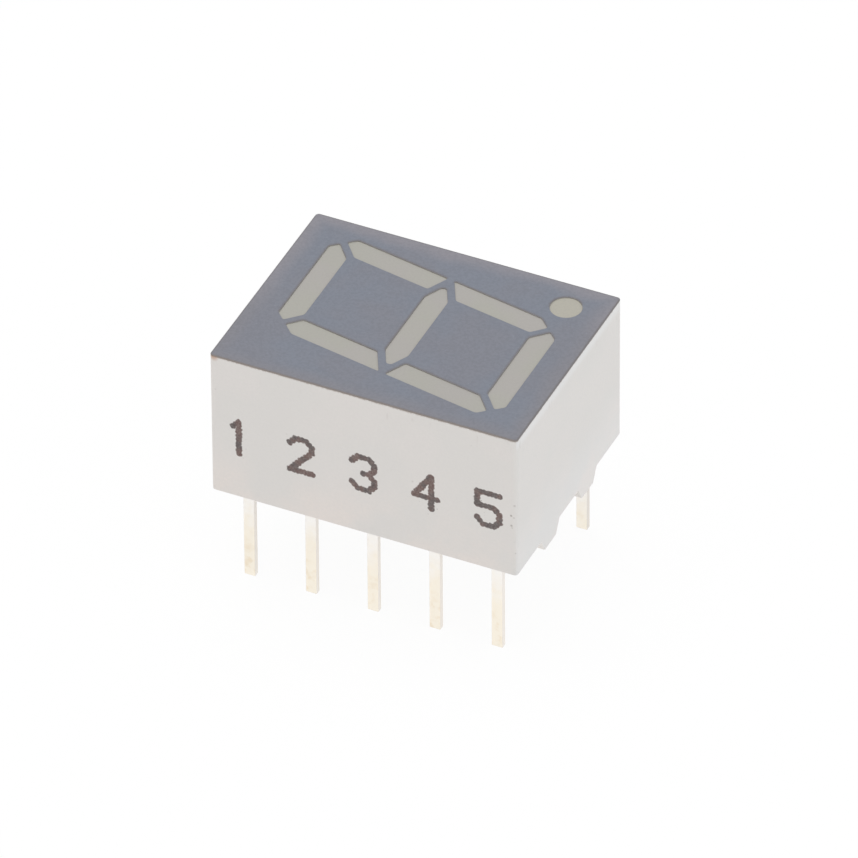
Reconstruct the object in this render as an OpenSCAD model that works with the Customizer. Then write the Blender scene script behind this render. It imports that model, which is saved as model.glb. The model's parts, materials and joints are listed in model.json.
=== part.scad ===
// One-digit seven segment display with a decimal point and two rows of five leads.
// z = 0 is the plane that the feet stand on, and +Z points out of the front face.
// The digit's top points along -X and its right side along +Y.

/* [Leads] */
// Distance between neighbouring leads in a row
lead_step = 2.54; // [2.4:0.01:3.2]
// Distance between the two rows of leads
row_span = 7.62; // [7.4:0.01:12.7]
// Width of a lead, along its row
lead_w = 0.45; // [0.3:0.01:0.6]
// Thickness of the sheet that the leads are stamped from
lead_t = 0.25; // [0.15:0.01:0.35]
// Length of the leads below the feet
lead_len = 3.7; // [2:0.1:8]
// Inside radius of the bend at the top of a lead
bend_r = 0.15; // [0.05:0.01:0.25]
// Height of the flat lead frame above the housing's rim
frame_h = 1; // [0.6:0.05:2]
// Width of the flat strips inside the housing
strip_w = 0.5; // [0.3:0.01:0.6]
// Gap between neighbouring flat strips
strip_gap = 0.35; // [0.2:0.01:0.4]
// Side of the square pad under each die
pad_s = 0.7; // [0.5:0.01:0.8]

/* [Housing] */
// Height of the housing from its rim to its front, without feet and coat
housing_h = 6.34; // [5:0.01:9]
// Thickness of the outer walls at the rim
wall = 0.6; // [0.4:0.05:1.2]
// Room between the outermost leads and the end walls
end_room = 0.33; // [0.3:0.01:1]
// Room between the rows of leads and the side walls
side_room = 0.14; // [0.05:0.01:1]
// Radius of the upright edges
edge_r = 0.15; // [0.02:0.01:0.5]
// Height of the feet
foot_h = 0.6; // [0.3:0.05:1.5]
// Length of a foot where it leaves the rim
foot_root = 1.65; // [1.2:0.05:2.4]
// Length of a foot where it stands
foot_tip = 1; // [0.6:0.05:1.2]
// Distance from the middle of the display to the middle of a foot
foot_y = 1.67; // [1.3:0.01:2.8]

/* [Face] */
// Thickness of the coat on the front face
coat_t = 0.03; // [0.02:0.01:0.2]
// Height of the digit
digit_h = 10; // [9:0.1:10.6]
// Distance between the centre lines of the digit's side bars
digit_w = 5.13; // [4.6:0.01:5.6]
// Distance of the digit from the middle of the display, towards the digit's foot
digit_x = 0.02; // [-0.2:0.01:0.2]
// Distance of the digit from the middle of the display, towards the digit's right
digit_y = 0.03; // [-0.2:0.01:0.2]
// Width of a bar
bar_w = 0.93; // [0.6:0.01:1.1]
// Gap between neighbouring bars
bar_gap = 0.3; // [0.15:0.01:0.45]
// Lean of the digit
lean_a = 10; // [0:0.5:12]
// Angle of the gap between two bars at the digit's wide corners
wide_mitre = 130; // [120:1:140]
// Angle of the gap between two bars at the digit's sharp corners
sharp_mitre = 45; // [35:1:50]
// Distance from the centre lines' crossing to the flat on an outer corner
corner_flat = 0.04; // [0:0.01:0.2]
// Angle between the middle bar's length and the sides of its tips
tip_a = 27; // [20:1:35]
// Distance that the middle gaps meet outside the side bars' centre lines
tip_out = 0.42; // [0.3:0.01:0.5]
// Width of the flat end on the middle bar's tips
tip_flat = 0.2; // [0.1:0.01:0.3]
// Distance from a bar's corner to where its curve starts, less on a short side
bar_soft = 0.09; // [0.02:0.01:0.12]
// Diameter of the decimal point
point_d = 1.22; // [0.8:0.01:1.4]
// Distance of the decimal point from the middle, towards the digit's foot
point_x = 4.6; // [4.2:0.01:4.9]
// Distance of the decimal point from the middle, towards the digit's right
point_y = 3.32; // [3:0.01:3.4]

/* [Light wells] */
// Length of a well's lower mouth
mouth_l = 2.2; // [1:0.05:2.6]
// Width of a well's lower mouth
mouth_w = 0.7; // [0.5:0.01:0.9]
// Diameter of the decimal point's lower mouth
point_mouth = 0.9; // [0.6:0.05:1.1]
// Depth of the resin's back face inside the rim
resin_low = 0.15; // [0.05:0.01:0.3]

/* [Dice and bond wires] */
// Side of a light emitting die
die_s = 0.3; // [0.2:0.01:0.4]
// Height of a light emitting die
die_h = 0.2; // [0.1:0.01:0.3]
// Diameter of a bond wire
wire_d = 0.04; // [0.02:0.005:0.05]
// Rise of a bond wire over the straight line between its ends
wire_rise = 0.3; // [0.15:0.01:0.45]
// Distance that a bond wire spans along a strip
wire_reach = 1.2; // [1:0.05:1.4]
// Diameter of the welds at a bond wire's ends
weld_d = 0.12; // [0.08:0.01:0.18]
// Height of the welds at a bond wire's ends
weld_h = 0.06; // [0.05:0.01:0.1]
// Room between the bond wires and the deck above them
deck_room = 0.2; // [0.05:0.01:0.5]

/* [Hidden] */
$fn = 48;

// Overshoot of a cut past the face that it leaves, and overlap of joined shapes
over = 0.05;

// Outside of the housing, from the leads outwards, and the cavity at its back
body_l = 4 * lead_step + lead_w + 2 * (end_room + wall);
body_w = row_span + lead_t + 2 * (side_room + wall);
cavity_l = body_l - 2 * wall;
cavity_w = body_w - 2 * wall;

// Heights, from the feet upwards
strip_z = foot_h + frame_h;
pad_z = strip_z + lead_t;
deck_z = pad_z + die_h + weld_h / 2 + wire_rise + wire_d / 2 + deck_room;
face_z = foot_h + housing_h;

// A direction, the crossing of two lines, a point of the leaning digit, half a turn, and an arc
function dir(a) = [cos(a), sin(a)];
function meet(p, a, q, b) = p + dir(a) * cross(q - p, dir(b)) / cross(dir(a), dir(b));
function lean(x, y) = [x, y - x * tan(lean_a)];
function turned(outline) = [for (p = outline) -p];
function arc(centre, r, from, to) = [for (k = [0 : 6]) centre + r * dir(from + (to - from) * k / 6)];

// Centre lines of the digit: the end bars' distance from the middle, and the joints
end_x = (digit_h - bar_w) / 2;
wide = lean(-end_x, digit_w / 2);
sharp = lean(-end_x, -digit_w / 2);
joint = [0, digit_w / 2 + tip_out];
right = lean(0, digit_w / 2);

// Edge lines of the bars, each through one point
half_w = bar_w / 2;
half_gap = bar_gap / 2;
side_out = right + half_w * dir(90 - lean_a);
side_in = right - half_w * dir(90 - lean_a);
end_out = [-end_x - half_w, 0];
end_in = [-end_x + half_w, 0];
wide_flat = wide + corner_flat * dir(wide_mitre);
sharp_flat = sharp - corner_flat * dir(sharp_mitre);
wide_gap = half_gap * dir(wide_mitre + 90);
sharp_gap = half_gap * dir(sharp_mitre + 90);
low_gap = half_gap * dir(tip_a);
high_gap = half_gap * dir(180 - tip_a);
tip_y = joint.y - half_gap / sin(tip_a) - tip_flat / 2 / tan(tip_a);

// Outline of the top bar
bar_a = [
    meet(end_in, 90, wide + wide_gap, wide_mitre),
    meet(wide + wide_gap, wide_mitre, wide_flat, wide_mitre - 90),
    meet(wide_flat, wide_mitre - 90, end_out, 90),
    meet(end_out, 90, sharp_flat, sharp_mitre + 90),
    meet(sharp_flat, sharp_mitre + 90, sharp + sharp_gap, sharp_mitre),
    meet(sharp + sharp_gap, sharp_mitre, end_in, 90)
];
// Outline of the upper right bar
bar_b = [
    meet(side_out, -lean_a, wide_flat, wide_mitre - 90),
    meet(wide_flat, wide_mitre - 90, wide - wide_gap, wide_mitre),
    meet(wide - wide_gap, wide_mitre, side_in, -lean_a),
    meet(side_in, -lean_a, joint + high_gap, 90 - tip_a),
    meet(joint + high_gap, 90 - tip_a, side_out, -lean_a)
];
// Outline of the lower right bar
bar_c = [
    meet(side_out, -lean_a, joint + low_gap, 90 + tip_a),
    meet(joint + low_gap, 90 + tip_a, side_in, -lean_a),
    meet(side_in, -lean_a, sharp_gap - sharp, sharp_mitre),
    meet(sharp_gap - sharp, sharp_mitre, -sharp_flat, sharp_mitre + 90),
    meet(-sharp_flat, sharp_mitre + 90, side_out, -lean_a)
];
// Outline of one half of the middle bar
half_g = [
    meet([half_w, 0], 90, joint - low_gap, 90 + tip_a),
    [tip_flat / 2, tip_y],
    [-tip_flat / 2, tip_y],
    meet([-half_w, 0], 90, joint - high_gap, 90 - tip_a)
];
// The digit is the same when it is turned by half a turn
bars = [bar_a, bar_b, bar_c, turned(bar_a), turned(bar_b), turned(bar_c), concat(half_g, turned(half_g))];
bar_angle = [90, -lean_a, -lean_a, 90, -lean_a, -lean_a, 90];

// Places of the dice: one under the middle of each bar, and one under the decimal point
top = lean(-end_x, 0);
upper = lean(-end_x / 2, digit_w / 2);
lower = lean(end_x / 2, digit_w / 2);
seats = [top, upper, lower, -top, -upper, -lower, [0, 0], [point_x, point_y]];
point = 7;

// Strips that pass the middle pad, one beside it, one below it and one outside that
pass_x = pad_s / 2 + strip_gap + strip_w / 2;
link_y = pass_x;
bus_y = link_y + strip_w + strip_gap;
arm_y = seats[3].y + pass_x;

// Ends of the bond wires on the common lead, in the order of the dice
lands = [
    [seats[0].x + wire_reach, bus_y],
    [seats[1].x, bus_y],
    [seats[2].x - wire_reach, bus_y],
    [seats[3].x - wire_reach / 2, arm_y],
    [seats[4].x - wire_reach, -bus_y],
    [seats[5].x + wire_reach, -bus_y],
    [pass_x, 0],
    [point_x, point_y - wire_reach]
];

// Column and row of each die's lead: -2 to 2 along the row, -1 and 1 for the two rows
pins = [[-2, 1], [-1, 1], [1, 1], [2, -1], [1, -1], [-1, -1], [-2, -1], [2, 1]];
neck_y = row_span / 2 - lead_t / 2 - bend_r;
function neck(pin) = [pin.x * lead_step, pin.y * neck_y];

// Block with rounded upright edges, standing on z = 0
module block(length, width, height) {
    x = length / 2 - edge_r;
    y = width / 2 - edge_r;
    translate([-length / 2, -y, 0]) cube([length, 2 * y, height]);
    translate([-x, -width / 2, 0]) cube([2 * x, width, height]);
    for (sx = [-1, 1], sy = [-1, 1])
        translate([sx * x, sy * y, 0]) cylinder(r = edge_r, h = height);
}

// Outline whose corners are curves
function softened(outline) = [
    for (i = [0 : len(outline) - 1])
        let (corner = outline[i], last = outline[(i + len(outline) - 1) % len(outline)],
            next = outline[(i + 1) % len(outline)],
            start = corner + min(0.4, bar_soft / norm(last - corner)) * (last - corner),
            end = corner + min(0.4, bar_soft / norm(next - corner)) * (next - corner))
        for (k = [0 : 5])
            let (t = k / 5) (1 - t) * (1 - t) * start + 2 * t * (1 - t) * corner + t * t * end
];

// Window of a bar in the front face
module window(i) {
    translate([digit_x, digit_y]) polygon(softened(bars[i]));
}

// Light well of a bar, narrowing from its window down to its mouth over the die
module well(i) {
    hull() {
        translate([0, 0, face_z]) linear_extrude(over) window(i);
        translate([seats[i].x, seats[i].y, deck_z - over]) rotate(bar_angle[i])
            translate([-mouth_l / 2, -mouth_w / 2, 0]) cube([mouth_l, mouth_w, over]);
    }
}

// Light well of the decimal point
module point_well() {
    translate([point_x, point_y, deck_z - over])
        cylinder(d1 = point_mouth, d2 = point_d, h = face_z - deck_z + over);
    translate([point_x, point_y, face_z]) cylinder(d = point_d, h = over);
}

module wells() {
    for (i = [0 : point - 1]) well(i);
    point_well();
}

// Foot at one end wall, flush with its outside
module foot(side_x, side_y) {
    translate([side_x * (body_l - wall) / 2 - wall / 2, side_y * foot_y, 0]) rotate([90, 0, 90])
        linear_extrude(wall) polygon([
            [-foot_tip / 2, 0], [foot_tip / 2, 0], [foot_root / 2, foot_h],
            [foot_root / 2, foot_h + over], [-foot_root / 2, foot_h + over], [-foot_root / 2, foot_h]
        ]);
}

module reflector_housing() {
    color([0.84, 0.83, 0.81]) difference() {
        union() {
            translate([0, 0, foot_h]) block(body_l, body_w, housing_h);
            for (sx = [-1, 1], sy = [-1, 1]) foot(sx, sy);
        }
        translate([0, 0, foot_h - over]) block(cavity_l, cavity_w, deck_z - foot_h + over);
        wells();
    }
}

module face_coat() {
    color([0.52, 0.53, 0.57]) difference() {
        translate([0, 0, face_z]) block(body_l, body_w, coat_t);
        for (i = [0 : point - 1])
            translate([0, 0, face_z - over]) linear_extrude(coat_t + 2 * over) window(i);
        translate([point_x, point_y, face_z - over]) cylinder(d = point_d, h = coat_t + 2 * over);
    }
}

module resin_fill() {
    color([0.70, 0.69, 0.66]) difference() {
        union() {
            translate([0, 0, foot_h + resin_low])
                block(cavity_l, cavity_w, deck_z - foot_h - resin_low);
            wells();
        }
        translate([0, 0, face_z]) block(body_l, body_w, 2 * over);
        lead_common();
        for (i = [0 : point]) {
            lead(i);
            die(i);
            wire(i);
        }
    }
}

// Upright leg of a lead, the bend at its top and the start of its flat strip
module leg(pin) {
    bend = [lead_t / 2 + bend_r, strip_z - bend_r];
    side = concat(
        [[-lead_t / 2, -lead_len]],
        arc(bend, bend_r + lead_t, 180, 90),
        [[bend.x + over, pad_z], [bend.x + over, strip_z]],
        arc(bend, bend_r, 90, 180),
        [[lead_t / 2, -lead_len]]
    );
    translate([pin.x * lead_step, pin.y * row_span / 2, 0]) rotate(pin.y > 0 ? 180 : 0)
        translate([-lead_w / 2, 0, 0]) rotate([90, 0, 90]) linear_extrude(lead_w) polygon(side);
}

// Flat strip along a path whose runs follow X or Y, ending square at the bends
module strip(path) {
    for (i = [1 : len(path) - 1]) {
        low = [min(path[i - 1].x, path[i].x), min(path[i - 1].y, path[i].y)];
        high = [max(path[i - 1].x, path[i].x), max(path[i - 1].y, path[i].y)];
        back = max(low.y - strip_w / 2, -neck_y);
        front = min(high.y + strip_w / 2, neck_y);
        translate([low.x - strip_w / 2, back, strip_z]) cube([high.x - low.x + strip_w, front - back, lead_t]);
    }
}

// Square pad under a die, ending square at the bends
module pad(i) {
    back = max(seats[i].y - pad_s / 2, -neck_y);
    front = min(seats[i].y + pad_s / 2, neck_y);
    translate([seats[i].x - pad_s / 2, back, strip_z]) cube([pad_s, front - back, lead_t]);
}

// Lead of one die: its leg, a strip along the pin's column, and the die's pad
module lead(i) {
    start = neck(pins[i]);
    turn_y = i == 6 ? -link_y : i == point ? start.y : seats[i].y;
    color([0.90, 0.88, 0.82]) {
        leg(pins[i]);
        strip([start, [start.x, turn_y], [seats[i].x, turn_y], seats[i]]);
        pad(i);
    }
}

// Common lead: both middle pins, joined round the middle pad, with arms towards the wires' ends
module lead_common() {
    color([0.90, 0.88, 0.82]) {
        leg([0, -1]);
        leg([0, 1]);
        strip([neck([0, -1]), [0, -bus_y], [pass_x, -bus_y], [pass_x, bus_y], [0, bus_y], neck([0, 1])]);
        strip([[0, bus_y], lands[0]]);
        strip([lands[5], lands[4]]);
        strip([[0, bus_y], lands[2]]);
        strip([[pass_x, arm_y], [point_x, arm_y], lands[point]]);
    }
}

module die(i) {
    color([0.75, 0.45, 0.30])
        translate([seats[i].x - die_s / 2, seats[i].y - die_s / 2, pad_z]) cube([die_s, die_s, die_h]);
}

// Bond wire: an arc from a weld on the die to a weld on the common lead
module wire(i) {
    from = [seats[i].x, seats[i].y, pad_z + die_h];
    to = [lands[i].x, lands[i].y, pad_z];
    span = norm(to - from);
    radius = (span * span / 4 + wire_rise * wire_rise) / (2 * wire_rise);
    half_a = asin(span / 2 / radius);
    color([0.85, 0.70, 0.35]) {
        translate(from) cylinder(d = weld_d, h = weld_h);
        translate(to) cylinder(d = weld_d, h = weld_h);
        translate(from + [0, 0, weld_h / 2])
            rotate([0, asin((from.z - to.z) / span), atan2(to.y - from.y, to.x - from.x)])
                translate([span / 2, 0, wire_rise - radius]) rotate([90, 0, 0]) rotate([0, 0, 90 - half_a])
                    rotate_extrude(angle = 2 * half_a) translate([radius, 0]) circle(d = wire_d);
    }
}

names = ["a", "b", "c", "d", "e", "f", "g", "point"];
reflector_housing();
face_coat();
resin_fill();
lead_common();
for (i = [0 : point]) {
    lead(i);
    die(i);
    wire(i);
}
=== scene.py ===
"""Finishes, resin fillets and stage of a seven segment display, laid out as an add-on and run as a script."""

import json
import math

import bpy
import numpy as np
from bpy.props import FloatProperty, FloatVectorProperty, PointerProperty
from mathutils import Matrix, Vector


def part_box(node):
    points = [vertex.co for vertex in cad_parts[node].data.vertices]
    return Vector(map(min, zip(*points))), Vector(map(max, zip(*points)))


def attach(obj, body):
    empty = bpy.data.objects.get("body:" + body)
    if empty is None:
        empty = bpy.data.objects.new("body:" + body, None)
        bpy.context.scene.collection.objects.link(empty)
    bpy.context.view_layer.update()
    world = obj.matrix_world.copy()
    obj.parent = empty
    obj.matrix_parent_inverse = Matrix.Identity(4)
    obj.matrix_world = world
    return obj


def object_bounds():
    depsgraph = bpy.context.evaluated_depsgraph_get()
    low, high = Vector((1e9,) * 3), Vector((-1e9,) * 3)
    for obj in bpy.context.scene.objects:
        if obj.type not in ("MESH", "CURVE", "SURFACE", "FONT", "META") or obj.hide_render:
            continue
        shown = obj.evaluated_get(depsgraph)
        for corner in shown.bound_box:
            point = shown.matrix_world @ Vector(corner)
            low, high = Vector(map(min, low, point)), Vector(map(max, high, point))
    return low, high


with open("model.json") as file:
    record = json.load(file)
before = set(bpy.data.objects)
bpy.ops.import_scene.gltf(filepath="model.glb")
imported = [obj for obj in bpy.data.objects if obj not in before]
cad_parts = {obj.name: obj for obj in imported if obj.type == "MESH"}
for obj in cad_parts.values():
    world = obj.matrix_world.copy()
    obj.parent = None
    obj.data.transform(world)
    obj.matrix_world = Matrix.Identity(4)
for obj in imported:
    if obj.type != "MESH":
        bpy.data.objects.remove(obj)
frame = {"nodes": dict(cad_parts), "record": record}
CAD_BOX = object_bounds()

bl_info = {
    "name": "Seven Segment Display",
    "version": (1, 0, 0),
    "blender": (4, 5, 0),
    "location": "View3D > Sidebar > Display",
    "description": "Finishes a one-digit seven segment display and sets its stage",
    "category": "Object",
}

MM = 0.001
HOUSING, COAT, RESIN, POINT_DIE = "reflector_housing", "face_coat", "resin_fill", "die_point"
LEADS = sorted(name for name in frame["nodes"] if name.startswith("lead_"))
DICE = sorted(name for name in frame["nodes"] if name.startswith("die_"))
WIRES = sorted(name for name in frame["nodes"] if name.startswith("wire_"))
PATTERN = next(m for m in frame["record"]["mounts"] if m["name"] == "lead_pattern")["dims"]
LEADS_IN_ROW = 5
WHITE = (1, 1, 1)

# Strokes of the plain pin numbers, as points on a grid four units wide and six units high
NUMERALS = {
    1: [[(1, 5), (2, 6), (2, 0)]],
    2: [[(0, 5), (1, 6), (3, 6), (4, 5), (4, 4), (0, 0), (4, 0)]],
    3: [
        [(0, 5), (1, 6), (3, 6), (4, 5), (4, 4), (3, 3), (4, 2), (4, 1), (3, 0), (1, 0), (0, 1)],
        [(2, 3), (3, 3)],
    ],
    4: [[(3, 0), (3, 6), (0, 2), (4, 2)]],
    5: [[(4, 6), (0, 6), (0, 3.5), (3, 3.5), (4, 2.5), (4, 1), (3, 0), (1, 0), (0, 1)]],
}
GRID_W, GRID_H = 4, 6


def tone(red, green, blue):
    """Scene-linear colour of an 8-bit display colour, by the sRGB curve."""
    shares = np.array((red, green, blue)) / 255
    linear = np.where(shares <= 0.04045, shares / 12.92, ((shares + 0.055) / 1.055) ** 2.4)
    return tuple(float(share) for share in linear)


def toned(colour, share):
    """The colour with each of its channels multiplied by the share."""
    return [share * channel for channel in colour]


# ---------------------------------------------------------------- settings


def colour(name, description, default):
    """Colour setting without alpha."""
    return FloatVectorProperty(
        name=name, description=description, default=default, subtype="COLOR", size=3, min=0, max=1
    )


def length(name, description, default_mm):
    """Length setting of up to 20 mm, given in millimetres and kept in metres."""
    return FloatProperty(
        name=name, description=description, default=default_mm * MM, min=0, max=20 * MM, precision=6,
        subtype="DISTANCE", unit="LENGTH",
    )


class HousingSettings(bpy.types.PropertyGroup):
    plastic: colour("Plastic", "Colour of the moulded white plastic", tone(235, 230, 226))
    rim_plastic: colour("Plastic at the rim", "Colour of the plastic at its lower rim", tone(241, 232, 226))
    # Painted light: paler colour for the undersides of the rim and the feet, which stands in for light from
    # below
    painted_underside_light: colour(
        "Thin plastic", "Colour of the undersides of the rim and the feet, which let light through",
        tone(255, 250, 246),
    )
    shade: colour("Flow marks", "Colour of the faint flow marks in the plastic", tone(233, 229, 225))
    dust: colour("Dust", "Colour of the specks of dust", tone(150, 140, 132))
    spray: colour("Overspray", "Colour of the coat's faint overspray under its edge", tone(148, 128, 114))
    # Painted light: near-white colour on the end wall at the digit's foot, a painted highlight under the coat
    # and a paler band towards the rim
    painted_end_light: colour(
        "Rubbed plastic", "Colour of the plastic rubbed bright at the digit's foot", tone(248, 248, 250)
    )
    primer: colour(
        "Primer", "Colour of the primer that shows at one corner of the front", tone(188, 142, 112)
    )
    ink: colour("Ink", "Colour of the pin numbers", tone(86, 74, 72))
    brown_ink: colour("Brown ink", "Colour that the ink drifts to", tone(108, 83, 77))
    edge_radius: length("Edge radius", "Radius of the moulded edges", 0.03)
    numeral_height: length("Numeral height", "Height of the pin numbers", 1.5)
    numeral_width: length("Numeral width", "Width of the pin numbers", 0.9)
    numeral_rise: length("Numeral rise", "Height of the pin numbers' feet above the resin's back face", 1.9)
    stroke_width: length("Stroke width", "Width of the dots that the pin numbers are printed with", 0.275)
    dot_pitch: length("Dot pitch", "Distance between the dots that the pin numbers are printed with", 0.16)


class CoatSettings(bpy.types.PropertyGroup):
    grey: colour("Grey", "Colour of the coat on the front face", tone(127, 132, 144))
    warm_grey: colour("Warm grey", "Colour that the coat drifts to", tone(129, 131, 141))
    border: colour("Border", "Colour of the coat towards its outline", tone(134, 133, 140))
    far_border: colour(
        "Far border", "Colour of the coat towards its outline at the digit's top and right",
        tone(145, 142, 149),
    )
    # Painted shade: dark colour laid on the coat beside the edges that the Lean mask picks, along the
    # windows' far and left sides
    painted_window_shade: colour("Lips", "Colour of the dirt that wiping left along the windows", tone(112, 104, 100))
    cut: colour("Cut edge", "Colour of the coat's cut edges", tone(118, 115, 116))
    side_cut: colour(
        "Cut edge at the side", "Colour of the coat's cut edge at the digit's left", tone(142, 132, 125)
    )
    window: colour(
        "Window edge", "Colour of the coat's edges in the windows, which the resin wets", tone(158, 153, 147)
    )
    edge_radius: length("Edge radius", "Radius of the coat's upper edges", 0.012)


class ResinSettings(bpy.types.PropertyGroup):
    cream: colour("Cream", "Colour of the diffusing resin in the bars", tone(176, 172, 167))
    green_cream: colour("Greenish cream", "Colour that the resin drifts to", tone(175, 173, 164))
    point_cream: colour("Decimal point", "Colour of the resin in the decimal point", tone(182, 178, 165))
    back: colour("Back", "Colour of the resin's back face", tone(205, 200, 184))
    cavity_radius: length("Cavity radius", "Radius of the cavity's upright corners", 0.15)
    fillet_width: length("Fillet width", "Reach of the resin's creep from a wall", 0.22)
    fillet_height: length("Fillet height", "Height of the resin's creep on a wall", 0.11)


class LeadSettings(bpy.types.PropertyGroup):
    tin: colour("Tin", "Colour of the leads' plating near the housing", tone(254, 251, 247))
    aged_tin: colour("Aged tin", "Colour of the plating towards the leads' tips", tone(254, 246, 231))
    stain: colour("Stain", "Colour of the stains on the plating", tone(238, 219, 189))
    sheared: colour("Sheared side", "Colour of the leads' sheared sides", tone(244, 239, 233))
    # Painted shade where this colour darkens the leads' edges and the rear row's sheared sides; it also
    # colours the tips' downward faces
    worn: colour("Worn edge", "Colour of the leads' edges, where the plating is thin", tone(222, 216, 210))
    edge_radius: length("Edge radius", "Radius of the leads' edges", 0.025)


class InnerSettings(bpy.types.PropertyGroup):
    crystal: colour("Crystal", "Colour of the dice", tone(172, 96, 52))
    dark_crystal: colour("Dark crystal", "Colour that the dice drift to", tone(120, 62, 38))
    gold: colour("Gold", "Colour of the bond wires and of the dice's contacts", tone(236, 200, 122))
    contact_radius: length("Contact radius", "Radius of the gold contact on a die", 0.07)


class StageSettings(bpy.types.PropertyGroup):
    floor: colour("Floor", "Colour of the floor, for the light that it throws back", tone(240, 240, 240))
    floor_size: FloatProperty(
        name="Floor size", description="Side of the floor", default=6.0, min=1, unit="LENGTH"
    )
    veil: FloatProperty(
        name="Veil", description="Share of plain white in the floor, which lightens the shadow", default=0.93,
        min=0, max=1, subtype="FACTOR",
    )
    veil_strength: FloatProperty(
        name="Veil strength", description="Strength at which the floor beside the shadow is plain white",
        default=1.006, min=0,
    )
    sky: FloatProperty(name="Sky", description="Level of the even light from all round", default=0.8, min=0)
    top_lamp: FloatProperty(
        name="Top lamp", description="Power of the lamp overhead", default=0.75, min=0, unit="POWER"
    )
    side_lamp: FloatProperty(
        name="Side lamp", description="Power of the lamp at the right", default=0.28, min=0, unit="POWER"
    )
    side_tint: colour("Side lamp's tint", "Colour of the lamp at the right", (0.45, 0.8, 1.0))
    lens: FloatProperty(
        name="Lens", description="Focal length in millimetres on a 36 mm sensor", default=594.03, min=50
    )
    aim: FloatVectorProperty(
        name="Aim", description="Point that the camera looks at",
        default=(0.317 * MM, 0.4154 * MM, 1.9021 * MM), size=3, precision=6, subtype="XYZ", unit="LENGTH",
    )
    distance: FloatProperty(
        name="Distance", description="Camera's distance from its aim", default=0.52695, unit="LENGTH"
    )
    azimuth: FloatProperty(
        name="Azimuth", description="Turn of the camera about Z, from -Y towards +X",
        default=math.radians(25.05), subtype="ANGLE", unit="ROTATION",
    )
    elevation: FloatProperty(
        name="Elevation", description="Camera's height above the horizon", default=math.radians(38.71),
        subtype="ANGLE", unit="ROTATION",
    )
    roll: FloatProperty(
        name="Roll", description="Turn of the camera about its line of sight", default=math.radians(-0.394),
        subtype="ANGLE", unit="ROTATION",
    )


# ---------------------------------------------------------------- node trees


class Graph:
    """Adds nodes to one tree. A value that is a socket is linked, and any other value is typed in."""

    # Numbers of the Mix node's sockets that take a factor and two colours and give the blend
    FACTOR, FIRST, SECOND, BLEND = 0, 6, 7, 2

    def __init__(self, tree):
        self.tree = tree
        tree.nodes.clear()

    def put(self, kind, values=(), **settings):
        """New node of the kind, with its attributes set and then its inputs filled."""
        node = self.tree.nodes.new(kind)
        for name, value in settings.items():
            setattr(node, name, value)
        for key, value in dict(values).items():
            self.fill(node.inputs[key], value)
        return node

    def fill(self, socket, value):
        """Links or types a value into an input, and gives a typed colour an alpha of 1."""
        if isinstance(value, bpy.types.NodeSocket):
            self.tree.links.new(value, socket)
        elif socket.type == "RGBA":
            socket.default_value = (*value, 1)
        else:
            socket.default_value = value

    def math(self, operation, *values, clamp=False):
        return self.put("ShaderNodeMath", enumerate(values), operation=operation, use_clamp=clamp).outputs[0]

    def times(self, first, second):
        return self.math("MULTIPLY", first, second)

    def above(self, value, limit):
        """1 where the value is above the limit, and 0 elsewhere."""
        return self.math("GREATER_THAN", value, limit)

    def under(self, value, limit):
        """1 where the value is under the limit, and 0 elsewhere."""
        return self.math("LESS_THAN", value, limit)

    def between(self, share, first, second):
        """Number between first at a share of 0 and second at a share of 1."""
        return self.math("MULTIPLY_ADD", share, second - first, first)

    def ramp(self, value, low, high, start=0.0, end=1.0):
        """Smooth step from start at low to end at high."""
        node = self.put(
            "ShaderNodeMapRange",
            {"Value": value, "From Min": low, "From Max": high, "To Min": start, "To Max": end},
            interpolation_type="SMOOTHSTEP",
        )
        return node.outputs["Result"]

    def vector(self, operation, *values, scale=None):
        node = self.put("ShaderNodeVectorMath", enumerate(values), operation=operation)
        if scale is not None:
            self.fill(node.inputs["Scale"], scale)
        return node.outputs["Value" if operation in ("DOT_PRODUCT", "LENGTH", "DISTANCE") else "Vector"]

    def parts(self, vector):
        """The X, Y and Z of a vector."""
        return self.put("ShaderNodeSeparateXYZ", {0: vector}).outputs

    def facing(self):
        """The X, Y and Z of the way that the surface faces, on the object's own axes."""
        return self.parts(self.put("ShaderNodeTexCoord").outputs["Normal"])

    def blend(self, mask, first, second, share=1.0):
        """Colour that is first where the mask is 0 and has the share of second in it where the mask is 1."""
        factor = mask if share == 1.0 else self.times(mask, share)
        values = {self.FACTOR: factor, self.FIRST: first, self.SECOND: second}
        return self.put("ShaderNodeMix", values, data_type="RGBA").outputs[self.BLEND]

    def mix(self, mask, first, second):
        """Shader that is first where the mask is 0 and second where it is 1."""
        return self.put("ShaderNodeMixShader", enumerate((mask, first, second))).outputs[0]

    def noise(self, place, size, detail=2.0, roughness=0.5):
        """Fractal noise from 0 to 1 whose coarsest lumps are size across."""
        scale = 1 / size if isinstance(size, (int, float)) else self.math("DIVIDE", 1.0, size)
        node = self.put(
            "ShaderNodeTexNoise", {"Vector": place, "Scale": scale, "Detail": detail, "Roughness": roughness}
        )
        return node.outputs["Fac"]

    def group(self, name, **values):
        """Places the named group, with its inputs given by their titles in small letters."""
        node = self.put("ShaderNodeGroup", node_tree=bpy.data.node_groups[name])
        for title, value in values.items():
            self.fill(node.inputs[title.capitalize()], value)
        return node.outputs[0]


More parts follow.
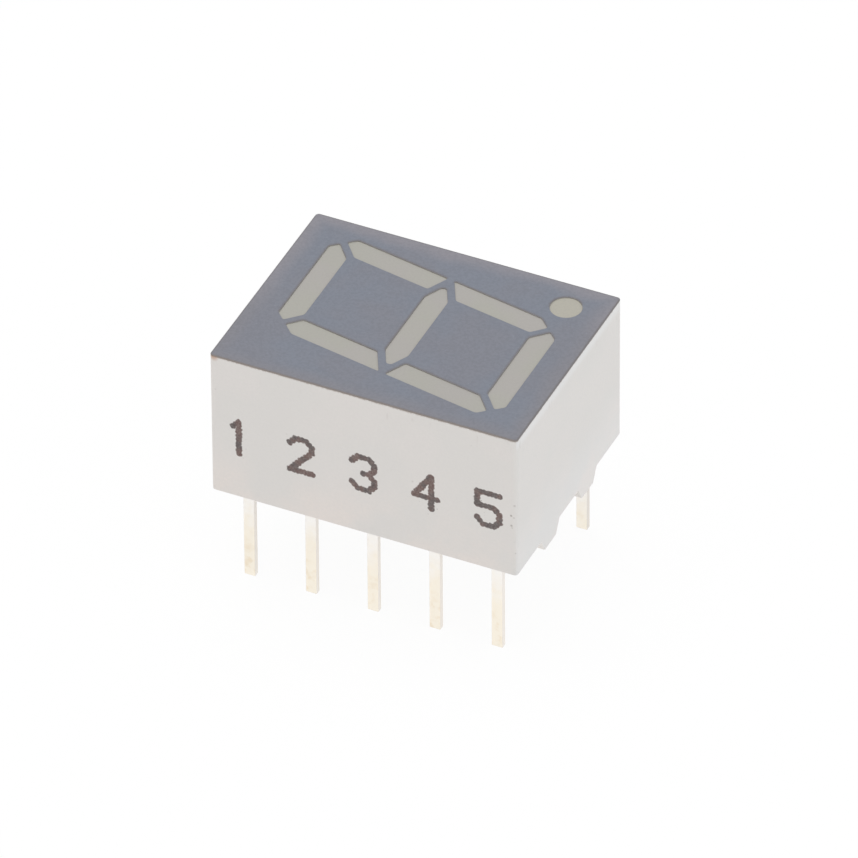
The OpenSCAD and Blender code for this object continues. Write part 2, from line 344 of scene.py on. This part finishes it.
def new_group(name, inputs, output):
    """Starts a node group with the given (title, socket kind) inputs and one output of that form.

    Returns its graph, the sockets that give the inputs and a function that takes the result.
    """
    tree = bpy.data.node_groups.new(name, "ShaderNodeTree")
    for title, kind in inputs:
        tree.interface.new_socket(title, in_out="INPUT", socket_type="NodeSocket" + kind)
    tree.interface.new_socket(output[0], in_out="OUTPUT", socket_type="NodeSocket" + output[1])
    graph = Graph(tree)
    given = graph.put("NodeGroupInput").outputs
    result = graph.put("NodeGroupOutput").inputs
    return graph, given, lambda socket: tree.links.new(socket, result[0])


def make_drift_group():
    """Drift: a slow blend of two colours over the surface."""
    graph, given, give = new_group(
        "Drift",
        [("Place", "Vector"), ("Size", "Float"), ("First", "Color"), ("Second", "Color")],
        ("Color", "Color"),
    )
    lumps = graph.ramp(graph.noise(given["Place"], given["Size"], detail=3), low=0.38, high=0.62)
    give(graph.blend(lumps, given["First"], given["Second"]))


def make_grain_group():
    """Grain: two layers of fine noise, the finer one five times smaller, as a height from 0 to 1."""
    graph, given, give = new_group("Grain", [("Place", "Vector"), ("Size", "Float")], ("Height", "Float"))
    coarse_share, fine_share, fine_size = 0.6, 0.4, 0.2
    coarse = graph.noise(given["Place"], given["Size"])
    fine = graph.noise(given["Place"], graph.times(given["Size"], fine_size))
    give(graph.math("ADD", graph.times(coarse, coarse_share), graph.times(fine, fine_share)))


def make_specks_group():
    """Specks: round spots in a share of the cells that are size across, each of its own width."""
    graph, given, give = new_group(
        "Specks", [("Place", "Vector"), ("Size", "Float"), ("Share", "Float")], ("Mask", "Float")
    )
    least, most, core = 0.08, 0.33, 0.5
    cells = graph.put(
        "ShaderNodeTexVoronoi", {"Vector": given["Place"], "Scale": graph.math("DIVIDE", 1.0, given["Size"])}
    ).outputs
    chance, width, _ = graph.parts(cells["Color"])
    there = graph.under(chance, given["Share"])
    edge = graph.between(width, least, most)
    spot = graph.ramp(cells["Distance"], graph.times(edge, core), edge, start=1.0, end=0.0)
    give(graph.times(spot, there))


def make_edges_group():
    """Edges: 1 on outer and inner edges and 0 away from them.

    It comes from how far a normal that is rounded over the radius turns from the true one, as a cosine.
    """
    graph, given, give = new_group("Edges", [("Radius", "Float")], ("Mask", "Float"))
    turned, straight = 0.75, 0.99
    rounded = graph.put("ShaderNodeBevel", {"Radius": given["Radius"]}, samples=4).outputs[0]
    true = graph.put("ShaderNodeNewGeometry").outputs["True Normal"]
    give(graph.ramp(graph.vector("DOT_PRODUCT", rounded, true), turned, straight, start=1.0, end=0.0))


def make_lean_group():
    """Lean: 1 beside the edges past which the surface falls away along a direction, and 0 elsewhere."""
    graph, given, give = new_group("Lean", [("Radius", "Float"), ("Direction", "Vector")], ("Mask", "Float"))
    rounded = graph.put("ShaderNodeBevel", {"Radius": given["Radius"]}, samples=8).outputs[0]
    give(graph.ramp(graph.vector("DOT_PRODUCT", rounded, given["Direction"]), low=0.02, high=0.2))


def make_stroke_group():
    """Stroke: the lesser of the distance so far and the distance to the nearest dot of a straight row.

    The foot of the place on the run from start to end is rounded to a whole number of the gaps between dots.
    """
    graph, given, give = new_group(
        "Stroke",
        [
            ("Place", "Vector"), ("Start", "Vector"), ("End", "Vector"), ("Dots", "Float"),
            ("Nearest", "Float"),
        ],
        ("Nearest", "Float"),
    )
    run = graph.vector("SUBTRACT", given["End"], given["Start"])
    off = graph.vector("SUBTRACT", given["Place"], given["Start"])
    along = graph.math(
        "DIVIDE", graph.vector("DOT_PRODUCT", off, run), graph.vector("DOT_PRODUCT", run, run), clamp=True
    )
    dot = graph.math("ROUND", graph.times(along, given["Dots"]))
    along = graph.math("DIVIDE", dot, given["Dots"])
    foot = graph.vector("SCALE", run, scale=along)
    give(graph.math("MINIMUM", given["Nearest"], graph.vector("DISTANCE", off, foot)))


def new_material(name):
    """Makes a material with a Principled shader.

    Returns it, its graph, the shader's inputs and the place on the object in millimetres.
    """
    made = bpy.data.materials.new(name)
    made.use_nodes = True
    graph = Graph(made.node_tree)
    shader = graph.put("ShaderNodeBsdfPrincipled")
    graph.put("ShaderNodeOutputMaterial", {"Surface": shader.outputs[0]})
    place = graph.vector("SCALE", graph.put("ShaderNodeTexCoord").outputs["Object"], scale=1 / MM)
    return made, graph, shader.inputs, place


def bump(graph, height, depth_mm):
    """Normal of a height from 0 to 1 that stands for the given depth."""
    node = graph.put("ShaderNodeBump", {"Height": height, "Distance": depth_mm * MM, "Strength": 1.0})
    return node.outputs[0]


def finish(graph, shader, base, roughness, height, depth_mm):
    """Gives the shader its colour, its roughness and the bump of a height."""
    graph.fill(shader["Base Color"], base)
    graph.fill(shader["Roughness"], roughness)
    graph.fill(shader["Normal"], bump(graph, height, depth_mm))


def off_axis(graph, place, node_name):
    """Distance in millimetres from the upright line through the middle of a CAD node."""
    low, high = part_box(node_name)
    centre = (low + high) / 2 / MM
    return graph.vector("DISTANCE", graph.vector("MULTIPLY", place, (1, 1, 0)), (centre.x, centre.y, 0))


# ---------------------------------------------------------------- meshes


def soften(node, radius, segments=3):
    """Rounds a CAD node's edges.

    Its loose triangles are welded, flat ones are merged, and edges of 30 degrees or more are bevelled.
    """
    weld = node.modifiers.new("Weld", "WELD")
    weld.merge_threshold = 1e-7
    flat = node.modifiers.new("Flat faces", "DECIMATE")
    flat.decimate_type = "DISSOLVE"
    flat.angle_limit = math.radians(0.5)
    edge = node.modifiers.new("Rounded edges", "BEVEL")
    edge.width = radius
    edge.segments = segments
    edge.limit_method = "ANGLE"
    edge.angle_limit = math.radians(30)
    edge.use_clamp_overlap = False
    edge.harden_normals = True


def dress(node_name, material):
    """Puts the material on a CAD node in place of its plain one."""
    slots = frame["nodes"][node_name].data.materials
    slots.clear()
    slots.append(material)


def rounded_path(half_x, half_y, radius, steps=8):
    """Points and outward normals of a rectangle with round corners.

    Each corner is a quarter circle in equal steps about a centre that lies in from both sides by the radius.
    """
    turn = np.linspace(0, math.pi / 2, steps + 1)
    angles = np.concatenate([turn + k * math.pi / 2 for k in range(4)])
    normals = np.stack([np.cos(angles), np.sin(angles)], axis=1)
    corner = np.repeat([(1, 1), (-1, 1), (-1, -1), (1, -1)], steps + 1, axis=0)
    centres = corner * (half_x - radius, half_y - radius)
    return centres + radius * normals, normals


def creep_ring(centre, path, normals, outward, width, height, seat, steps=8):
    """Closed ring of resin that has crept along a wall, as one row of points for each point of the path.

    At a share t of the width away from the wall the ring is below the resin's face, which is at the seat, by
    the height times the square of (1 - t). It closes a little inside the face and inside the wall.
    """
    tuck = 0.1
    share = np.linspace(0, 1, steps + 1)
    away = np.concatenate([share * width, [width, -tuck * width]])
    drop = np.concatenate([height * (1 - share) ** 2, [-tuck * height, -tuck * height]])
    flat = path[:, None, :] + outward * normals[:, None, :] * away[None, :, None]
    level = np.broadcast_to(seat - drop, flat.shape[:2])
    return np.concatenate([flat + centre, level[..., None]], axis=2)


def ring_faces(count, section, flip, first):
    """Quads that join each section of a closed ring to the next one."""
    i, j = np.meshgrid(np.arange(count), np.arange(section), indexing="ij")
    quads = np.stack([
        i * section + j, (i + 1) % count * section + j,
        (i + 1) % count * section + (j + 1) % section, i * section + (j + 1) % section,
    ], axis=-1).reshape(-1, 4)
    return (quads[:, ::-1] if flip else quads) + first


# ---------------------------------------------------------------- pieces


class FinishHousing(bpy.types.Operator):
    """Rounds the housing's edges and gives it satin white plastic with pin numbers at the digit's left"""

    bl_idname = "segment_display.finish_housing"
    bl_label = "Finish Housing"

    def execute(self, context):
        size = context.scene.display_housing
        low, high = (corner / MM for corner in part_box(HOUSING))
        resin_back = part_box(RESIN)[0].z / MM
        made, graph, shader, place = new_material("white_plastic")
        grain = graph.group("Grain", place=place, size=0.12)
        base = self.plastic(graph, place, size, grain, resin_back)
        base = self.dust(graph, place, size, base, low, high)
        base = self.foot_end(graph, place, size, base, high.z, resin_back)
        base = self.overspray(graph, place, size, base, low, high)
        base = self.numbers(graph, place, size, base, resin_back)
        roughness = graph.between(grain, 0.4, 0.56)
        finish(graph, shader, base, roughness, grain, depth_mm=0.0035)
        dress(HOUSING, made)
        soften(frame["nodes"][HOUSING], size.edge_radius)
        return {"FINISHED"}

    def plastic(self, graph, place, size, grain, resin_back):
        """White plastic with flow marks and flecks, warmer at its rim, and painted light that makes the
        undersides of the rim and feet paler.
        """
        z = graph.parts(place)["Z"]
        rise = graph.ramp(z, low=resin_back - 0.3, high=resin_back + 2.5)
        plastic = graph.blend(rise, size.rim_plastic, size.plastic)
        base = graph.group("Drift", place=place, size=2.6, first=plastic, second=size.shade)
        flecks = graph.ramp(grain, low=0.4, high=0.6)
        base = graph.blend(flecks, base, toned(size.shade, 0.95), share=0.25)
        # Painted light: faces that turn down, below the resin's back, are blended to a paler colour
        downward = graph.under(graph.facing()["Z"], -0.3)
        return graph.blend(graph.times(downward, graph.under(z, resin_back)), base, size.painted_underside_light)

    def dust(self, graph, place, size, base, low, high):
        """Specks of dust in patches, and small chips along the upright edge at the digit's left and foot."""
        x, y, _ = graph.parts(place)
        dust = graph.group("Specks", place=place, size=0.4, share=0.05)
        patches = graph.ramp(graph.noise(place, size=1.7), low=0.4, high=0.65, start=0.15, end=0.7)
        chips = graph.group("Specks", place=place, size=0.3, share=0.7)
        off_edge = graph.math("MAXIMUM", graph.math("SUBTRACT", high.x, x), graph.math("SUBTRACT", y, low.y))
        near_edge = graph.ramp(off_edge, low=0.16, high=0.34, start=0.32, end=0.0)
        specks = graph.math("MAXIMUM", graph.times(dust, patches), graph.times(chips, near_edge))
        return graph.blend(specks, base, size.dust)

    def foot_end(self, graph, place, size, base, top, resin_back):
        """End wall at the digit's foot: a painted highlight under the coat, and painted light that makes it a
        little paler towards the rim.
        """
        z = graph.parts(place)["Z"]
        at_foot = graph.above(graph.facing()["X"], 0.7)
        # Painted highlight: a bright band on the end wall just under the coat
        painted_end_light = graph.ramp(graph.math("SUBTRACT", top, z), low=0.14, high=0.55, start=0.4, end=0.0)
        base = graph.blend(graph.times(painted_end_light, at_foot), base, size.painted_end_light)
        # Painted light: the end wall is blended paler towards the rim
        pale = graph.ramp(z, low=resin_back, high=resin_back + 3.0, start=0.25, end=0.0)
        return graph.blend(graph.times(pale, at_foot), base, size.painted_end_light)

    def overspray(self, graph, place, size, base, low, high):
        """Ragged overspray and smears under the coat, and a spot of primer at one corner of the front."""
        fray_depth, upright_stretch, spot_inset = 0.16, (1, 1, 0.3), 0.17
        below = graph.math("SUBTRACT", high.z, graph.parts(place)["Z"])
        fray = graph.times(graph.noise(place, size=0.12, detail=4, roughness=0.7), fray_depth)
        spray = graph.ramp(graph.math("SUBTRACT", below, fray), low=-0.085, high=-0.02, start=0.55, end=0.0)
        upright = graph.vector("MULTIPLY", place, upright_stretch)
        smears = graph.ramp(graph.noise(upright, size=0.35, detail=5), low=0.62, high=0.75, end=0.2)
        smears = graph.times(smears, graph.ramp(below, low=0.1, high=1.1, start=1.0, end=0.0))
        base = graph.blend(graph.math("MAXIMUM", spray, smears), base, size.spray)
        off_corner = graph.vector("DISTANCE", place, (low.x + spot_inset, low.y, high.z))
        spot = graph.ramp(off_corner, low=0.06, high=0.26, start=0.6, end=0.0)
        return graph.blend(spot, base, size.primer)

    def numbers(self, graph, place, size, base, resin_back):
        """Pin numbers in worn ink with ragged edges and a little spatter, on the wall at the digit's left."""
        nearest = self.number_distance(graph, place, size, resin_back)
        edge, soft, most_ragged = size.stroke_width / MM / 2, 0.02, 0.06
        ragged = graph.between(graph.noise(place, size=0.11, detail=3), -most_ragged, most_ragged)
        ragged = graph.math("ADD", nearest, ragged)
        ink = graph.ramp(ragged, low=edge - soft, high=edge + soft, start=1.0, end=0.0)
        spatter = graph.group("Specks", place=place, size=0.12, share=0.12)
        spatter = graph.times(spatter, graph.ramp(nearest, low=0.1, high=0.42, start=0.55, end=0.0))
        ink = graph.math("MAXIMUM", ink, spatter)
        ink = graph.times(ink, graph.under(graph.facing()["Y"], -0.9))
        worn = graph.ramp(graph.noise(place, size=0.07, detail=3), low=0.3, high=0.75, start=1.0, end=0.86)
        brown = graph.group("Drift", place=place, size=0.3, first=size.ink, second=size.brown_ink)
        return graph.blend(graph.times(ink, worn), base, brown)

    def number_distance(self, graph, place, size, resin_back):
        """Distance to the nearest dot of the pin numbers, one number above each lead of the row."""
        step = PATTERN["spacing_x_mm"]
        width, height = size.numeral_width / MM, size.numeral_height / MM
        foot = resin_back + size.numeral_rise / MM
        side = graph.vector("MULTIPLY", place, (1, 0, 1))
        nearest = 1.0
        for number, runs in NUMERALS.items():
            left = (number - (LEADS_IN_ROW + 1) / 2) * step - width / 2
            for run in runs:
                ends = [(left + u * width / GRID_W, 0, foot + v * height / GRID_H) for u, v in run]
                for start, end in zip(ends, ends[1:]):
                    dots = max(1, round(math.dist(start, end) / (size.dot_pitch / MM)))
                    nearest = graph.group(
                        "Stroke", place=side, start=start, end=end, dots=dots, nearest=nearest
                    )
        return nearest


class FinishCoat(bpy.types.Operator):
    """Rounds the coat's upper edges and gives it matt grey paint with a fine grain and darker cut edges"""

    bl_idname = "segment_display.finish_coat"
    bl_label = "Finish Coat"

    def execute(self, context):
        size = context.scene.display_coat
        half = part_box(COAT)[1] / MM
        made, graph, shader, place = new_material("grey_coat")
        x, y, _ = graph.parts(place)
        inside = graph.math(
            "MINIMUM", graph.math("SUBTRACT", half.x, graph.math("ABSOLUTE", x)),
            graph.math("SUBTRACT", half.y, graph.math("ABSOLUTE", y)),
        )
        grain = graph.group("Grain", place=place, size=0.11)
        base = self.paint(graph, place, size, grain, inside)
        base = self.edges(graph, size, base, inside, graph.math("ADD", half.y, y))
        roughness = graph.between(grain, 0.5, 0.7)
        finish(graph, shader, base, roughness, grain, depth_mm=0.004)
        dress(COAT, made)
        soften(frame["nodes"][COAT], size.edge_radius, segments=2)
        return {"FINISHED"}

    def paint(self, graph, place, size, grain, inside):
        """Grey paint that warms unevenly towards its outline, with dark flecks and pale specks."""
        slant, most_uneven = 0.3, 0.4
        x, y, _ = graph.parts(place)
        base = graph.group("Drift", place=place, size=3.0, first=size.grey, second=size.warm_grey)
        across = graph.math("MULTIPLY_ADD", x, -slant, y)
        border = graph.blend(graph.ramp(across, low=0.0, high=2.0), size.border, size.far_border)
        uneven = graph.between(graph.noise(place, size=1.5), -most_uneven, most_uneven)
        uneven = graph.math("ADD", inside, uneven)
        base = graph.blend(graph.ramp(uneven, low=0.0, high=0.8, start=0.9, end=0.0), base, border)
        flecks = graph.ramp(grain, low=0.42, high=0.6)
        base = graph.blend(flecks, base, graph.vector("SCALE", base, scale=0.86), share=0.6)
        pale = graph.group("Specks", place=place, size=0.16, share=0.05)
        return graph.blend(pale, base, toned(size.grey, 1.5), share=0.22)

    def edges(self, graph, size, base, inside, off_left):
        """Painted shade beside the windows' edges, worn edges, and cut edges outside and in the windows."""
        worn_share, outline_width = 0.3, 0.1
        # Painted shade: the coat is darkened beside the edges past which it falls away along the given
        # direction
        window_shade_mask = graph.group("Lean", radius=0.15 * MM, direction=(0.5, -0.86, 0))
        base = graph.blend(window_shade_mask, base, size.painted_window_shade, share=0.75)
        side = graph.ramp(graph.facing()["Z"], low=0.4, high=0.8, start=1.0, end=0.0)
        worn = graph.times(graph.group("Edges", radius=0.035 * MM), worn_share)
        worn = graph.math("MAXIMUM", worn, graph.ramp(inside, low=0.02, high=0.08, start=0.6, end=0.0))
        at_left = graph.ramp(off_left, low=0.1, high=0.12, start=1.0, end=0.0)
        cut = graph.blend(at_left, size.cut, size.side_cut)
        base = graph.blend(graph.math("MAXIMUM", worn, side), base, cut)
        in_window = graph.times(side, graph.above(inside, outline_width))
        return graph.blend(in_window, base, size.window)


class FinishResin(bpy.types.Operator):
    """Gives the resin its cream colour in the windows and a glossier milky one at its back"""

    bl_idname = "segment_display.finish_resin"
    bl_label = "Finish Resin"

    # Distance in millimetres from the decimal point's middle within which the resin has the point's colour
    POINT_REACH = 1.0

    def execute(self, context):
        size = context.scene.display_resin
        made, graph, shader, place = new_material("diffusing_resin")
        grain = graph.group("Grain", place=place, size=0.09)
        base = graph.group("Drift", place=place, size=2.4, first=size.cream, second=size.green_cream)
        about_point = graph.under(off_axis(graph, place, POINT_DIE), self.POINT_REACH)
        base = graph.blend(about_point, base, size.point_cream)
        flecks = graph.ramp(grain, low=0.4, high=0.62)
        base = graph.blend(flecks, base, toned(size.cream, 0.88), share=0.3)
        milky = graph.group("Drift", place=place, size=1.1, first=size.back, second=toned(size.back, 0.93))
        behind = graph.under(graph.facing()["Z"], 0.2)
        base = graph.blend(behind, base, milky)
        roughness = graph.between(behind, 0.42, 0.2)
        finish(graph, shader, base, roughness, grain, depth_mm=0.002)
        dress(RESIN, made)
        return {"FINISHED"}


class PourFillets(bpy.types.Operator):
    """Makes the rings of resin that crept down the cavity's walls and round each lead before it set"""

    bl_idname = "segment_display.pour_fillets"
    bl_label = "Pour Resin Fillets"

    # Creep round a lead as shares of its reach and height on a wall, and the radius of the ring's corners
    LEAD_REACH, LEAD_HEIGHT, LEAD_RADIUS = 0.6, 0.7, 0.02 * MM

    def execute(self, context):
        size = context.scene.display_resin
        reach, height = size.fillet_width, size.fillet_height
        low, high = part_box(RESIN)
        wall = rounded_path(high.x, high.y, size.cavity_radius)
        rings = [(creep_ring((0, 0), *wall, -1, reach, height, low.z), False)]
        half_w, half_t, centres = self.lead_sections()
        lead = rounded_path(half_w, half_t, self.LEAD_RADIUS, steps=4)
        reach, height = self.LEAD_REACH * reach, self.LEAD_HEIGHT * height
        rings += [(creep_ring(centre, *lead, 1, reach, height, low.z), True) for centre in centres]
        points, faces, first = [], [], 0
        for ring, flip in rings:
            count, section = ring.shape[:2]
            points.append(ring.reshape(-1, 3))
            faces.append(ring_faces(count, section, flip, first))
            first += count * section
        mesh = bpy.data.meshes.new("resin_fillets")
        mesh.from_pydata(np.concatenate(points), [], np.concatenate(faces).tolist())
        mesh.shade_smooth()
        mesh.materials.append(bpy.data.materials["diffusing_resin"])
        piece = bpy.data.objects.new("resin_fillets", mesh)
        context.scene.collection.objects.link(piece)
        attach(piece, "root")
        return {"FINISHED"}

    def lead_sections(self):
        """Half width, half thickness and centres of the leads, from a thin slice over one lead's tip."""
        half_span, slice_height = PATTERN["spacing_y_mm"] * MM / 2, 0.01 * MM
        mesh = frame["nodes"]["lead_point"].data
        points = np.empty(3 * len(mesh.vertices))
        mesh.vertices.foreach_get("co", points)
        points = points.reshape(-1, 3)
        tip = points[points[:, 2] < CAD_BOX[0].z + slice_height]
        half_w, half_t = np.ptp(tip[:, :2], axis=0) / 2
        columns = (np.arange(LEADS_IN_ROW) - (LEADS_IN_ROW - 1) / 2) * PATTERN["spacing_x_mm"] * MM
        return half_w, half_t, [(x, side * half_span) for side in (-1, 1) for x in columns]


class FinishLeads(bpy.types.Operator):
    """Rounds the leads' edges and gives them tin plating that yellows and stains towards the tips"""

    bl_idname = "segment_display.finish_leads"
    bl_label = "Finish Leads"

    def execute(self, context):
        size = context.scene.display_leads
        made, graph, shader, place = new_material("tinned_lead")
        streaks, sheared_roughness, stain_height = (14, 14, 1.2), 0.15, 0.5
        stains = graph.ramp(graph.noise(place, size=0.32, detail=2), low=0.46, high=0.74)
        sheared = graph.above(graph.math("ABSOLUTE", graph.facing()["X"]), 0.7)
        drawn = graph.noise(graph.vector("MULTIPLY", place, streaks), size=1.0, detail=3)
        base = self.plating(graph, place, size, stains, sheared)
        rougher = graph.times(sheared, sheared_roughness)
        roughness = graph.math("ADD", graph.between(drawn, 0.3, 0.46), rougher)
        height = graph.math("ADD", drawn, graph.times(stains, stain_height))
        finish(graph, shader, base, roughness, height, depth_mm=0.002)
        shader["Metallic"].default_value = 0.9
        for name in LEADS:
            dress(name, made)
            soften(frame["nodes"][name], size.edge_radius, segments=2)
        return {"FINISHED"}

    def plating(self, graph, place, size, stains, sheared):
        """Tin that ages towards the tips, with stains and duller sides; painted light keeps the rear row
        fresher and less stained, and painted shade darkens the rear row's sheared sides and the edges.
        """
        _, y, z = graph.parts(place)
        tip = CAD_BOX[0].z / MM
        # Painted light: the rear row's lift keeps its tin fresher and lighter, and fewer stains are laid on
        # it
        rear_share, rear_painted_light, most_uneven = 0.7, 2.5, 1.2
        rear = graph.times(graph.above(y, 0.0), rear_share)
        uneven = graph.between(graph.noise(place, size=0.5), -most_uneven, most_uneven)
        fresh = graph.math("MULTIPLY_ADD", rear, rear_painted_light, graph.math("ADD", z, uneven))
        aged = graph.ramp(fresh, low=0.55 * tip, high=0.2, start=1.0, end=0.0)
        base = graph.blend(aged, size.tin, size.aged_tin)
        towards_tip = graph.ramp(z, low=0.95 * tip, high=0.35 * tip, start=1.0, end=0.15)
        stained = graph.times(graph.times(stains, graph.between(rear, 0.6, 0.1)), towards_tip)
        base = graph.blend(stained, base, size.stain)
        # Painted shade: the rear row's sheared sides take the darker edge colour
        base = graph.blend(sheared, base, graph.blend(rear, size.sheared, size.worn), share=0.85)
        # Painted shade: the edges of the leads are darkened
        base = graph.blend(graph.group("Edges", radius=0.05 * MM), base, size.worn, share=0.75)
        end = graph.times(graph.under(graph.facing()["Z"], -0.7), graph.under(z, 0.9 * tip))
        return graph.blend(end, base, size.worn)


class FinishInner(bpy.types.Operator):
    """Gives the dice their crystal with a gold contact, and the bond wires drawn gold"""

    bl_idname = "segment_display.finish_inner"
    bl_label = "Finish Dice and Wires"

    def execute(self, context):
        size = context.scene.display_inner
        gold = self.gold(size)
        for name in WIRES:
            dress(name, gold)
        for name in DICE:
            dress(name, self.crystal(name, size))
        return {"FINISHED"}

    def gold(self, size):
        """Material of the bond wires."""
        made, graph, shader, place = new_material("drawn_gold")
        drawn = graph.group("Grain", place=place, size=0.03)
        base = graph.group("Drift", place=place, size=0.2, first=size.gold, second=toned(size.gold, 0.85))
        roughness = graph.between(drawn, 0.18, 0.38)
        finish(graph, shader, base, roughness, drawn, depth_mm=0.0006)
        shader["Metallic"].default_value = 1.0
        return made

    def crystal(self, name, size):
        """Material of one die, with the round contact at the middle of its top."""
        made, graph, shader, place = new_material("crystal_" + name.split("_")[1])
        grain = graph.group("Grain", place=place, size=0.04)
        base = graph.group("Drift", place=place, size=0.12, first=size.crystal, second=size.dark_crystal)
        radius = size.contact_radius / MM
        contact = graph.ramp(off_axis(graph, place, name), radius, 1.1 * radius, start=1.0, end=0.0)
        contact = graph.times(contact, graph.above(graph.facing()["Z"], 0.5))
        base = graph.blend(contact, base, size.gold)
        roughness = graph.between(grain, 0.25, 0.45)
        finish(graph, shader, base, roughness, grain, depth_mm=0.001)
        graph.fill(shader["Metallic"], contact)
        return made


class SetStage(bpy.types.Operator):
    """Sets the pale floor, the even studio light and the camera"""

    bl_idname = "segment_display.set_stage"
    bl_label = "Set Stage"

    # Places of the two square lamps, and their sides, in metres
    TOP_PLACE, TOP_SIDE = (-0.12, 0.02, 0.7), 0.5
    SIDE_PLACE, SIDE_SIDE = (0.7, -0.1, 0.3), 0.4

    def execute(self, context):
        scene, size = context.scene, context.scene.display_stage
        self.floor(scene, size)
        self.world(scene, size)
        self.lamp(scene, "top_lamp", size.top_lamp, WHITE, self.TOP_PLACE, self.TOP_SIDE)
        self.lamp(scene, "side_lamp", size.side_lamp, size.side_tint, self.SIDE_PLACE, self.SIDE_SIDE)
        self.camera(scene, size)
        scene.view_settings.view_transform = "Standard"
        return {"FINISHED"}

    def seen(self, graph):
        """1 for the rays that show a surface to the camera, straight or in gloss or glass."""
        path = graph.put("ShaderNodeLightPath").outputs
        gloss = graph.math("MAXIMUM", path["Is Glossy Ray"], path["Is Transmission Ray"])
        return graph.math("MAXIMUM", path["Is Camera Ray"], gloss)

    def floor(self, scene, size):
        """Flat square under the leads' tips, see-through from below."""
        half = size.floor_size / 2
        corners = [(-half, -half), (half, -half), (half, half), (-half, half)]
        mesh = bpy.data.meshes.new("floor")
        mesh.from_pydata([(x, y, CAD_BOX[0].z) for x, y in corners], [], [(0, 1, 2, 3)])
        made = bpy.data.materials.new("floor")
        made.use_nodes = True
        graph = Graph(made.node_tree)
        seen = self.seen(graph)
        matt = graph.put("ShaderNodeBsdfDiffuse", {"Color": graph.blend(seen, size.floor, WHITE)}).outputs[0]
        white = graph.put("ShaderNodeEmission", {"Color": WHITE, "Strength": size.veil_strength}).outputs[0]
        shown = graph.mix(graph.times(seen, size.veil), matt, white)
        below = graph.put("ShaderNodeNewGeometry").outputs["Backfacing"]
        clear = graph.put("ShaderNodeBsdfTransparent").outputs[0]
        graph.put("ShaderNodeOutputMaterial", {"Surface": graph.mix(below, shown, clear)})
        mesh.materials.append(made)
        floor = bpy.data.objects.new("floor", mesh)
        scene.collection.objects.link(floor)

    def world(self, scene, size):
        """Even light from all round, which shows as plain white."""
        world = bpy.data.worlds.new("studio")
        world.use_nodes = True
        graph = Graph(world.node_tree)
        level = graph.between(self.seen(graph), size.sky, 1)
        even = graph.put("ShaderNodeBackground", {"Color": WHITE, "Strength": level}).outputs[0]
        graph.put("ShaderNodeOutputWorld", {"Surface": even})
        scene.world = world

    def lamp(self, scene, name, power, tint, place, side):
        """Square lamp at a place, turned to the display."""
        light = bpy.data.lights.new(name, "AREA")
        light.energy = power
        light.color = tint
        light.size = side
        lamp = bpy.data.objects.new(name, light)
        lamp.location = place
        lamp.rotation_euler = (-Vector(place)).to_track_quat("-Z", "Y").to_euler()
        scene.collection.objects.link(lamp)

    def camera(self, scene, size):
        """Camera on a sphere round its aim, rolled about its line of sight."""
        level = math.cos(size.elevation)
        away = Vector((
            math.sin(size.azimuth) * level, -math.cos(size.azimuth) * level, math.sin(size.elevation)
        ))
        right = Vector((math.cos(size.azimuth), math.sin(size.azimuth), 0))
        up = away.cross(right)
        right, up = (
            math.cos(size.roll) * right + math.sin(size.roll) * up,
            math.cos(size.roll) * up - math.sin(size.roll) * right,
        )
        lens = bpy.data.cameras.new("camera")
        lens.sensor_width = 36
        lens.lens = size.lens
        lens.clip_start, lens.clip_end = 0.01, 20
        camera = bpy.data.objects.new("camera", lens)
        turn = Matrix((right, up, away)).transposed()
        camera.matrix_world = Matrix.Translation(Vector(size.aim) + size.distance * away) @ turn.to_4x4()
        scene.collection.objects.link(camera)
        scene.camera = camera


# ---------------------------------------------------------------- add-on

GROUPS = (
    make_drift_group, make_grain_group, make_specks_group,
    make_edges_group, make_lean_group, make_stroke_group,
)
SETTINGS = {
    "display_housing": HousingSettings,
    "display_coat": CoatSettings,
    "display_resin": ResinSettings,
    "display_leads": LeadSettings,
    "display_inner": InnerSettings,
    "display_stage": StageSettings,
}
STEPS = (FinishHousing, FinishCoat, FinishResin, PourFillets, FinishLeads, FinishInner, SetStage)


class DisplayPanel(bpy.types.Panel):
    """Lists the display's steps and settings"""

    bl_idname = "VIEW3D_PT_segment_display"
    bl_label = "Seven Segment Display"
    bl_space_type = "VIEW_3D"
    bl_region_type = "UI"
    bl_category = "Display"

    def draw(self, context):
        for step in STEPS:
            self.layout.operator(step.bl_idname)
        for key, group in SETTINGS.items():
            box = self.layout.box()
            for name in group.__annotations__:
                box.prop(getattr(context.scene, key), name)


def register():
    for made in (*SETTINGS.values(), *STEPS, DisplayPanel):
        bpy.utils.register_class(made)
    for key, group in SETTINGS.items():
        setattr(bpy.types.Scene, key, PointerProperty(type=group))


def unregister():
    for key in SETTINGS:
        delattr(bpy.types.Scene, key)
    for made in (DisplayPanel, *reversed(STEPS), *SETTINGS.values()):
        bpy.utils.unregister_class(made)


def main():
    """Runs the add-on's steps in order."""
    register()
    for make in GROUPS:
        make()
    for step in STEPS:
        family, name = step.bl_idname.split(".")
        getattr(getattr(bpy.ops, family), name)()


if __name__ == "__main__":
    main()
